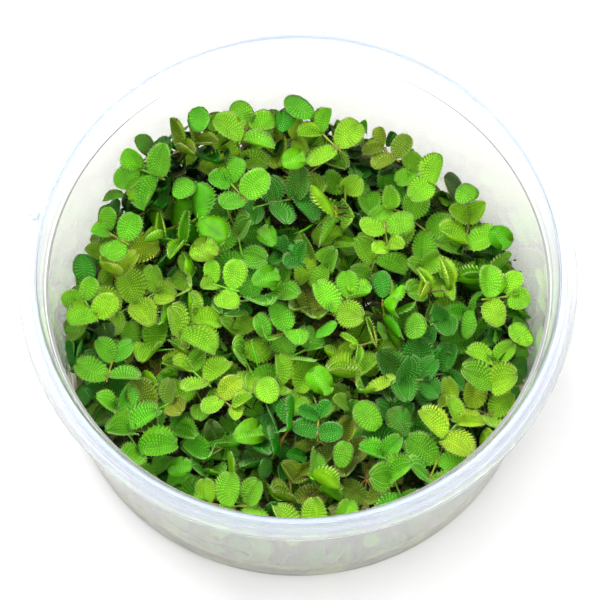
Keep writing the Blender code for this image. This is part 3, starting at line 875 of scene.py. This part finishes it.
WALL_GAP = 0.4 * MM         # between the wall and what is laid against it
LAID_GAP = 0.3 * MM         # between things that lie above each other
CELL = 0.5 * MM             # of the square grid on which the laid surfaces are kept
CELLS = 204
WALL_LEAF_STEP = (4.5 * MM, 3.1 * MM)   # between the leaves that line the wall, round it and up
WALL_INSETS = (0.0, 3.0 * MM, 6.0 * MM)
LOW_ON_WALL = 6 * MM        # up to here the leaves are small and stand nearly upright
WALL_SLOPES = ((-0.1, 0.2), (0.3, 1.0))     # radians that low and high leaves lean back


def pile_surface(x, y):
    """Height of the heap of plants: level in front, with a round mound at the back left."""
    off = np.hypot(x - MOUND_CENTRE[0], y - MOUND_CENTRE[1]) / MOUND_WIDTH
    return PILE_HEIGHT + MOUND_HEIGHT * np.exp(-off * off)


def sprig_ceiling(x, y):
    """How high a sprig may lie: a little above the heap, and higher where it leans on the wall."""
    to_wall = (FLOOR_RADIUS - np.hypot(x, y)) / WALL_CLIMB[1]
    behind = np.clip((y - WALL_CLIMB_FROM[0]) / (WALL_CLIMB_FROM[1] - WALL_CLIMB_FROM[0]), 0.0, 1.0)
    ceiling = pile_surface(x, y) + SPRIG_TOP + WALL_CLIMB[0] * behind * np.exp(-to_wall ** 2)
    for heap_x, heap_y, tall, width in WALL_HEAPS:
        off = np.hypot(x - heap_x * MM, y - heap_y * MM) / (width * MM)
        ceiling = ceiling + tall * MM * np.exp(-off * off)
    return ceiling


def wall_inside(height):
    """Inside radius of the tub's wall at a height."""
    foot, flare, top = WALL_INSIDE
    return (foot + flare * height / (top * MM)) * MM


def cells_under(points):
    """Grid cells below points, as two index arrays."""
    cells = np.floor(points[:, :2] / CELL).astype(int) + CELLS // 2
    return tuple(np.clip(cells, 0, CELLS - 1).T)


def footprint(leaf):
    """Points spread over a blade, closer together than the grid's cells."""
    t, q = np.meshgrid(np.linspace(0, 1, 19), np.linspace(-1, 1, 17))
    return blade_surface(leaf, t.ravel(), q.ravel())


def lay(points):
    """Notes points of something laid, in the lowest and the highest surface."""
    cells = cells_under(points)
    np.minimum.at(lowest, cells, points[:, 2])
    np.maximum.at(highest, cells, points[:, 2])


def old_leaf(draw, turn, length):
    """A single leaf of an older plant, with the middle of its blade at the origin."""
    leaf = {"pair": 0, "length": length, "along": turn[:, 0], "up": turn[:, 2],
            "fold": draw.uniform(0.0, 0.4), "droop": draw.uniform(-0.1, 0.15), "deep": False}
    leaf["base"] = -0.55 * length * leaf["along"]
    shape_leaf(leaf, draw)
    return leaf


def wall_leaf(draw, out, z, inset):
    """An old leaf that faces outwards and leans back, moved out until it touches the wall or the
    lining that lies inset from it. Returns the leaf and its height."""
    low = z < LOW_ON_WALL
    tangent = np.array([-out[1], out[0], 0.0])
    slope = draw.uniform(*WALL_SLOPES[0 if low else 1])
    normal = unit(out * math.cos(slope) + LEVEL * math.sin(slope) + tangent * draw.normal(0, 0.25))
    along = unit(np.cross(normal, tangent) * draw.choice([-1, 1]) + tangent * draw.normal(0, 0.8))
    along = unit(along - normal * np.dot(along, normal))
    turn = np.stack([along, np.cross(normal, along), normal], axis=1)
    leaf = old_leaf(draw, turn, draw.uniform(5.0, 7.4) * MM * (0.75 if low else 1.0))
    z = z + draw.uniform(-0.8, 0.8) * MM
    reach = (footprint(leaf) @ out).max()
    leaf["base"] = leaf["base"] + out * (wall_inside(z) - WALL_GAP - inset - reach) + LEVEL * z
    leaf["deep"] = inset > 0
    return leaf, z


def wall_tones(z, edge, inset):
    """Tones for a leaf on the wall: bright at the lining's upper edge as painted light, olive lower
    down, darker lower down and darkest in the inner linings as painted shade."""
    # Painted shade: the inner linings, behind the outer one, get the darkest tones.
    if inset > 0:
        return "dsss"
    if z > edge - 4 * MM:
        return "bfdf"
    return "fdos" if z > 7 * MM else "osof"


lowest = np.full((CELLS, CELLS), np.inf)
highest = np.full((CELLS, CELLS), -np.inf)
for leaf in upper_leaves:
    lay(footprint(leaf))

old_draw = np.random.default_rng(GROWTH_SEED * 5)
old_leaves = []
for inset in WALL_INSETS:
    for angle in np.arange(0, 2 * math.pi, WALL_LEAF_STEP[0] / wall_inside(0.0)):
        out = np.array([math.cos(angle), math.sin(angle), 0.0])
        edge = sprig_ceiling(*(47.0 * MM * out[:2])) - SPRIG_TOP - 4.0 * MM - 0.5 * inset
        for z in np.arange(3.0 * MM, edge, WALL_LEAF_STEP[1]):
            out = unit(out + 0.02 * old_draw.normal(0, 1, 3) * [1, 1, 0])
            leaf, z = wall_leaf(old_draw, out, z, inset)
            spots = footprint(leaf)
            cells = cells_under(spots)
            free = (spots[:, 2] < lowest[cells] - LAID_GAP) | (spots[:, 2] > highest[cells] + LAID_GAP)
            inside = np.hypot(spots[:, 0], spots[:, 1]) < wall_inside(spots[:, 2]) - 0.1 * MM
            if inside.all() and spots[:, 2].min() > 1.2 * MM and free.mean() > 0.8:
                tint_leaf(leaf, old_draw, wall_tones(z, edge, inset)[old_draw.integers(4)])
                old_leaves.append(leaf)
for leaf in old_leaves:
    lay(footprint(leaf))


# The sprigs, young plants with two pairs of leaves. They fill the gaps between the upper plants
# and lie on the matted ones, held by nothing but their neighbours. Together with the lower
# leaves and the roots they take the place of the one solid of the matted plants.
SPRIGS = 190
SPRIG_SHAPES = 24
SPRIG_NUMBER = 200          # a sprig is grown like a young plant with a number from here on
SPRIG_SIZE = (0.84, 1.1)    # against a plant of the upper layer
SPRIG_TRIALS = 26           # turns and shapes tried in a pit
SPRIG_REACH = 6             # cells from a pit's middle that count as the pit
SPRIG_TILT = 0.65           # radians
SPRIG_LEAST = 66            # cells times mm that a sprig has to fill
SPRIG_GRID = (20, 4)        # rows along a sprig's leaf, and columns from midrib to margin
SPRIG_HAIRY_COLUMNS = (2,)
SPRIG_GROUPS = 3
SPRIG_TONES = "fffbbbbpddbo"


def box_sum(mask, reach):
    """Sum of the mask over a square of cells round each cell, from its running totals."""
    padded = np.pad(mask.astype(float), ((reach + 1, reach), (reach + 1, reach)))
    total = padded.cumsum(axis=0).cumsum(axis=1)
    size = 2 * reach + 1
    return total[size:, size:] - total[:-size, size:] - total[size:, :-size] + total[:-size, :-size]


def random_turn(draw, tilt):
    """A turn that tilts about a random level axis and then heads anywhere."""
    lean = draw.uniform(0.0, 2.0 * math.pi)
    axis = np.array([math.cos(lean), math.sin(lean), 0.0])
    heading = draw.uniform(0.0, 2.0 * math.pi)
    return np.array([turned(turned(column, axis, tilt), LEVEL, heading) for column in np.eye(3)]).T


def place_among(local, x, y, top, deepest):
    """The highest lift, from top down to deepest, at which every local point at x and y is
    clear below all that lies in its cell, or clear above it. Returns the place or None."""
    moved = local + np.array([x, y, 0.0])
    cells = cells_under(moved)
    lifts = np.arange(top, deepest, -0.4 * MM)
    height = moved[:, 2] + lifts[:, None]
    clear = (height < lowest[cells] - LAID_GAP) | (height > highest[cells] + LAID_GAP)
    clear &= np.hypot(moved[:, 0], moved[:, 1]) < wall_inside(height) - WALL_GAP
    clear &= height > FREE_FLOOR
    fits = np.nonzero(clear.all(axis=1))[0]
    return None if len(fits) == 0 else (np.array([x, y, lifts[fits[0]]]), cells)


def fill_pits(draw, shapes, attempts, trials, depth, reach, tilt, least):
    """Lays shapes where the heap is furthest below its ceiling, and returns those that fitted.

    The ceiling is that of the sprigs, lowered by a depth. Every attempt takes the widest pit,
    tries shapes in random turns near it, each as high as it fits, and keeps the one that fills
    most of the pit, in cells times millimetres.
    """
    laid = []
    tried = np.zeros((CELLS, CELLS))
    full = sprig_ceiling(grid_x, grid_y) - depth - 3.0 * MM
    for _ in range(attempts):
        surface = np.maximum(highest, 1.0 * MM)
        pit = np.clip(full - surface, 0.0, 9.0 * MM) / MM * in_tub
        wish = box_sum(pit, reach) - 10 * reach * box_sum(tried, reach - 1)
        row, column = np.unravel_index(np.argmax(wish * in_tub), wish.shape)
        tried[row, column] += 1
        best = None
        for _ in range(trials):
            nodes, leaves = shapes[draw.integers(len(shapes))]
            x, y = np.array([middles[row], middles[column]]) + draw.normal(0.0, 0.4 * reach * CELL, 2)
            turn = random_turn(draw, draw.normal(0.0, tilt))
            nodes, leaves = laid_down(nodes, leaves, turn, np.zeros(3))
            local = np.concatenate([footprint(leaf) for leaf in leaves])
            top = sprig_ceiling(x, y) - depth - local[:, 2].max()
            found = place_among(local, x, y, top, 1.0 * MM)
            if found is None:
                continue
            place, cells = found
            raised_to = surface.copy()
            np.maximum.at(raised_to, cells, local[:, 2] + place[2])
            filled = np.clip(np.minimum(raised_to, full) - surface, 0.0, 8.0 * MM) / MM * in_tub
            score = filled.sum()
            if best is None or score > best[0]:
                best = score, laid_down(nodes, leaves, np.eye(3), place), local + place
        if best is not None and best[0] > least:
            laid.append(best[1])
            lay(best[2])
    return laid


middles = (np.arange(CELLS) - CELLS // 2 + 0.5) * CELL
grid_x, grid_y = np.meshgrid(middles, middles, indexing="ij")
in_tub = np.hypot(grid_x, grid_y) < FLOOR_RADIUS

sprig_draw = np.random.default_rng(GROWTH_SEED * 3)
shapes = []
for shape in range(SPRIG_SHAPES):
    sprig_nodes, sprig_leaves = grow(SPRIG_NUMBER + shape)
    size = sprig_draw.uniform(*SPRIG_SIZE)
    sprig_nodes = [(point * size, ahead) for point, ahead in sprig_nodes]
    for leaf in sprig_leaves:
        leaf["base"] = leaf["base"] * size
        leaf["length"] = leaf["length"] * size
        if shape % 4 == 0:
            leaf["fold"] = leaf["fold"] + 0.8
        shape_leaf(leaf, sprig_draw)
    shapes.append((sprig_nodes, sprig_leaves))
sprigs = fill_pits(sprig_draw, shapes, SPRIGS, SPRIG_TRIALS, 0.0, SPRIG_REACH, SPRIG_TILT, SPRIG_LEAST)

for group in range(SPRIG_GROUPS):
    heap = new_heap()
    for sprig_nodes, sprig_leaves in sprigs[group::SPRIG_GROUPS]:
        tone = SPRIG_TONES[sprig_draw.integers(len(SPRIG_TONES))]
        add_plant(heap, sprig_nodes, sprig_leaves, sprig_draw, tone, *SPRIG_GRID, SPRIG_HAIRY_COLUMNS)
    piece = piece_from("sprigs_%d" % (group + 1), heap, plant_materials)
    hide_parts("matted_plants")
    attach(piece, "root")


# The lower leaves, single leaves of the older plants: in the pits that the sprigs left, deeper
# down under them, and in a layer on the floor. They are wet, some partly brown, and painted darker
# the deeper they lie, as shade; they lie loose on each other, together with the leaves along the wall.
OLD_LEAF_SHAPES = 40
OLD_LEAF_PASSES = (         # attempts, lengths and depth in mm, reach of a pit in cells, least filled
    (280, (5.6, 7.6), 1.5, 3, 16), (300, (3.2, 4.8), 5.5, 2, 8),
)
OLD_LEAF_TRIALS = 10
OLD_LEAF_TILT = 0.6
FLOOR_LEAF_STEP = 4.5 * MM
FLOOR_LEAF_LENGTHS = (5.6, 7.2)     # in mm
FLOOR_LEAF_HEIGHTS = (1.5, 2.8)     # in mm
OLD_LEAF_GRID = (12, 3)     # rows along the leaf, and columns from midrib to margin
DEEP_LEAF_GRID = (8, 2)     # the same for a leaf that lies under others

for attempts, lengths, depth, reach, least in OLD_LEAF_PASSES:
    shapes = [([], [old_leaf(old_draw, np.eye(3), old_draw.uniform(*lengths) * MM)])
              for _ in range(OLD_LEAF_SHAPES)]
    for _, leaves in fill_pits(old_draw, shapes, attempts, OLD_LEAF_TRIALS, depth * MM, reach,
                               OLD_LEAF_TILT, least):
        leaf = leaves[0]
        sunk = sprig_ceiling(*leaf["base"][:2]) - leaf["base"][2]
        # Painted shade: a leaf that lies 6 mm or more below the sprigs' ceiling gets deep and near black
        # tones.
        tint_leaf(leaf, old_draw, ("bffd" if sunk < 6 * MM else "ddss")[old_draw.integers(4)])
        old_leaves.append(leaf)
rows_of_spots = np.arange(-47 * MM, 48 * MM, FLOOR_LEAF_STEP)
for x in rows_of_spots:
    for y in rows_of_spots:
        turn = random_turn(old_draw, old_draw.normal(0.0, 0.08))
        leaf = old_leaf(old_draw, turn, old_draw.uniform(*FLOOR_LEAF_LENGTHS) * MM)
        leaf["fold"], leaf["cup"], leaf["deep"] = 0.05, 0.03, True
        spot = np.array([x, y]) + old_draw.uniform(-1.2, 1.2, 2) * MM
        leaf["base"] = leaf["base"] + [*spot, old_draw.uniform(*FLOOR_LEAF_HEIGHTS) * MM]
        # Painted shade: the floor leaves, under all the rest, get near black and olive tones.
        tint_leaf(leaf, old_draw, "sso"[old_draw.integers(3)])
        spots = footprint(leaf)
        free = spots[:, 2] < lowest[cells_under(spots)] - LAID_GAP
        if free.mean() > 0.85 and (np.hypot(spots[:, 0], spots[:, 1]) < FREE_RADIUS).all():
            old_leaves.append(leaf)

heap = new_heap()
for leaf in old_leaves:
    add_blade(heap, leaf, (0.0,), *(DEEP_LEAF_GRID if leaf["deep"] else OLD_LEAF_GRID))
lower_leaves = piece_from("lower_leaves", heap, plant_materials)
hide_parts("matted_plants")
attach(lower_leaves, "root")


# The roots, brown threads that run through the whole heap, and three torn-off sprigs that lie
# root side up, their roots spread like a star. An old stem and two specks of dirt are stuck to
# the wet inside of the wall.
THREADS = 900
THREAD_LENGTHS = (2.0, 5.5)     # in mm, from a thread's middle to its ends
THREADS_DEEP = 7.0 * MM     # below the heap's surface, at least
THREADS_REACH = 46.5 * MM   # from the tub's middle
THREAD_RADII = (0.08, 0.15, 0.19, 0.19, 0.15, 0.08)     # in mm, along a thread
THREAD_TINT = (0.09, 0.05, 0.015)
BARE_ROOTS = ((-1.0, -38.0, 0.2), (17.0, -28.0, 1.0), (-26.0, -8.0, 0.6))   # x and y in mm, first ray
BARE_ROOT_RAYS = 7
BARE_ROOT_RADII = (0.2, 0.16, 0.13, 0.1, 0.06)
BARE_ROOT_TINT = (0.34, 0.2, 0.03)
WALL_STRAND = (     # degrees round the wall and height in mm of the old stem
    (219.0, 21.5), (222.0, 19.8), (229.0, 15.9), (237.0, 14.6), (245.0, 13.0), (254.0, 13.9),
    (258.0, 12.0),
)
STRAND_POINTS = 25
WALL_SPECKS = ((47.6, 17.2, 15.2), (48.6, 14.0, 16.2))     # in mm
SPECK_SHAPE = ((-0.3, 0.1, -0.2), (0.0, 0.0, 0.0), (0.3, -0.1, 0.25))
SPECK_RADII = (0.1, 0.22, 0.1)
DIRT_TINT = (0.1, 0.06, 0.02)

thread_draw = np.random.default_rng(GROWTH_SEED * 7)
angle = thread_draw.uniform(0, 2 * math.pi, THREADS)
radius = THREADS_REACH * np.sqrt(thread_draw.uniform(0, 1, THREADS))
middle = np.stack([radius * np.cos(angle), radius * np.sin(angle)], axis=1)
deep = pile_surface(middle[:, 0], middle[:, 1]) - THREADS_DEEP
height = 2.0 * MM + (deep - 2.0 * MM) * thread_draw.uniform(0, 1, THREADS) ** 0.7
middle = np.concatenate([middle, height[:, None]], axis=1)[:, None]
heading = thread_draw.uniform(0, 2 * math.pi, THREADS)
slope = thread_draw.normal(0, 0.35, THREADS)
reach = thread_draw.uniform(*THREAD_LENGTHS, THREADS) * MM
step = np.stack([np.cos(heading) * np.cos(slope), np.sin(heading) * np.cos(slope), np.sin(slope)], axis=1)
k = np.linspace(-1, 1, len(THREAD_RADII))[None, :, None]
bow = thread_draw.normal(0, 1.0, (THREADS, 1, 3)) * MM * np.array([1, 1, 0.4])
paths = keep_inside(middle + step[:, None] * reach[:, None, None] * k + bow * (1 - k * k))
heap = new_heap()
add_tubes(heap, paths, np.array(THREAD_RADII) * MM, sides=3, finish=ROOT, tint=THREAD_TINT)

for x, y, turn in BARE_ROOTS:
    near = np.hypot(grid_x - x * MM, grid_y - y * MM) < 5.0 * MM
    bottom = np.maximum(highest, 8.0 * MM)
    gap = np.where(near, box_sum(bottom, 3), np.inf)
    row, column = np.unravel_index(np.argmin(gap), gap.shape)
    hub = np.array([middles[row], middles[column], bottom[row, column] + 0.8 * MM])
    one_each = (BARE_ROOT_RAYS, 1)
    angle = turn + np.arange(BARE_ROOT_RAYS)[:, None] * 0.9 + thread_draw.normal(0, 0.15, one_each)
    rise = thread_draw.uniform(-0.15, 0.3, one_each)
    rays = np.stack([np.cos(angle), np.sin(angle), rise], axis=-1)
    along_ray = np.linspace(0.1, 1, len(BARE_ROOT_RADII))[None, :, None]
    rays = hub + rays * along_ray * thread_draw.uniform(2.2, 3.4, (BARE_ROOT_RAYS, 1, 1)) * MM
    add_tubes(heap, rays, np.array(BARE_ROOT_RADII) * MM, sides=4, finish=STEM, tint=BARE_ROOT_TINT)

turn, z = np.array(WALL_STRAND).T
k = np.linspace(0, len(turn) - 1, STRAND_POINTS)
turn = np.radians(np.interp(k, np.arange(len(turn)), turn))
z = (np.interp(k, np.arange(len(z)), z) + 0.4 * np.sin(7.0 * k)) * MM
out = wall_inside(z) - 0.35 * MM
strand = np.stack([out * np.cos(turn), out * np.sin(turn), z], axis=-1)[None]
thickness = (0.28 + 0.1 * np.sin(11.0 * k)) * MM
add_tubes(heap, strand, thickness, sides=5, finish=ROOT, tint=DIRT_TINT)
specks = (np.array(WALL_SPECKS) * MM)[:, None] + np.array(SPECK_SHAPE) * MM
add_tubes(heap, specks, np.array(SPECK_RADII) * MM, sides=5, finish=ROOT, tint=DIRT_TINT)
tangle = piece_from("thread_tangle", heap, plant_materials)
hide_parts("matted_plants")
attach(tangle, "root")


# The table under the tub, and the soft light of a photo studio. A camera with a long lens looks
# down at 66 degrees.
TABLE_CORNERS = ((-2, -2, -0.0002), (2, -2, -0.0002), (2, 2, -0.0002), (-2, 2, -0.0002))
TABLE_SHADES = ((0.72, 0.72, 0.72, 1.0), (0.75, 0.75, 0.75, 1.0))
table_mesh = bpy.data.meshes.new("table_top")
table_mesh.from_pydata(TABLE_CORNERS, [], [(0, 1, 2, 3)])
table_top = bpy.data.objects.new("table_top", table_mesh)
bpy.context.scene.collection.objects.link(table_top)
table_finish, table_node, table_join = nodes_of("pale_table", {"Roughness": 0.8})
table_place = table_node("ShaderNodeTexCoord").outputs["Object"]
table_shade = table_node("ShaderNodeValToRGB", noise(table_node, table_place, 30.0, 2.0, 0.5))
for element, shade in zip(table_shade.color_ramp.elements, TABLE_SHADES):
    element.color = shade
table_join(table_shade.outputs["Color"], "Base Color")
table_mesh.materials.append(table_finish)

world = bpy.data.worlds.new("studio")
world.use_nodes = True
background = world.node_tree.nodes["Background"]
background.inputs["Strength"].default_value = 1.22
sky_place = world.node_tree.nodes.new("ShaderNodeTexCoord")
sky_parts = world.node_tree.nodes.new("ShaderNodeSeparateXYZ")
sky_ramp = world.node_tree.nodes.new("ShaderNodeValToRGB")
sky_ramp.color_ramp.elements[0].position = 0.02
sky_ramp.color_ramp.elements[0].color = (0.6, 0.66, 0.76, 1.0)
sky_ramp.color_ramp.elements[1].position = 0.35
sky_ramp.color_ramp.elements[1].color = (1.0, 1.0, 1.0, 1.0)
world.node_tree.links.new(sky_place.outputs["Generated"], sky_parts.inputs[0])
world.node_tree.links.new(sky_parts.outputs["Z"], sky_ramp.inputs["Fac"])
world.node_tree.links.new(sky_ramp.outputs["Color"], background.inputs["Color"])
bpy.context.scene.world = world


def soft_light(name, place, aim, size, power):
    """A square lamp at a place, turned to face its aim."""
    lamp = bpy.data.lights.new(name, "AREA")
    lamp.size = size
    lamp.energy = power
    made = bpy.data.objects.new(name, lamp)
    made.location = place
    made.rotation_euler = (Vector(aim) - Vector(place)).to_track_quat("-Z", "Y").to_euler()
    bpy.context.scene.collection.objects.link(made)


soft_light("window_light", place=(-0.35, 0.45, 0.95), aim=(0, 0, 0.02), size=0.7, power=12.5)
soft_light("front_light", place=(0.5, -0.5, 0.8), aim=(0, 0, 0.02), size=0.6, power=4.0)

RIM_CENTRE = Vector((0.0, 0.0, 46.6 * MM))
VIEW_ELEVATION = math.radians(66.3)
VIEW_DISTANCE = 819 * MM
FOCAL_PIXELS = 3892.0
IMAGE_PIXELS = 600.0
SENSOR_WIDTH = 36.0
AIM_PIXELS = (1.9, -25.3)   # from the rim's centre to the picture's, right and up
lens = bpy.data.cameras.new("view")
lens.sensor_width = SENSOR_WIDTH
lens.lens = FOCAL_PIXELS / IMAGE_PIXELS * lens.sensor_width
lens.clip_start, lens.clip_end = 0.05, 10.0
camera = bpy.data.objects.new("view", lens)
towards_camera = Vector((0.0, -math.cos(VIEW_ELEVATION), math.sin(VIEW_ELEVATION)))
camera.location = RIM_CENTRE + towards_camera * VIEW_DISTANCE
picture_up = Vector((0.0, math.sin(VIEW_ELEVATION), math.cos(VIEW_ELEVATION)))
off_centre = Vector((1.0, 0.0, 0.0)) * AIM_PIXELS[0] + picture_up * AIM_PIXELS[1]
aim = RIM_CENTRE + off_centre * VIEW_DISTANCE / FOCAL_PIXELS
camera.rotation_euler = (aim - camera.location).to_track_quat("-Z", "Y").to_euler()
bpy.context.scene.collection.objects.link(camera)
bpy.context.scene.camera = camera
bpy.context.scene.view_settings.view_transform = "Standard"
bpy.context.scene.view_settings.look = "None"
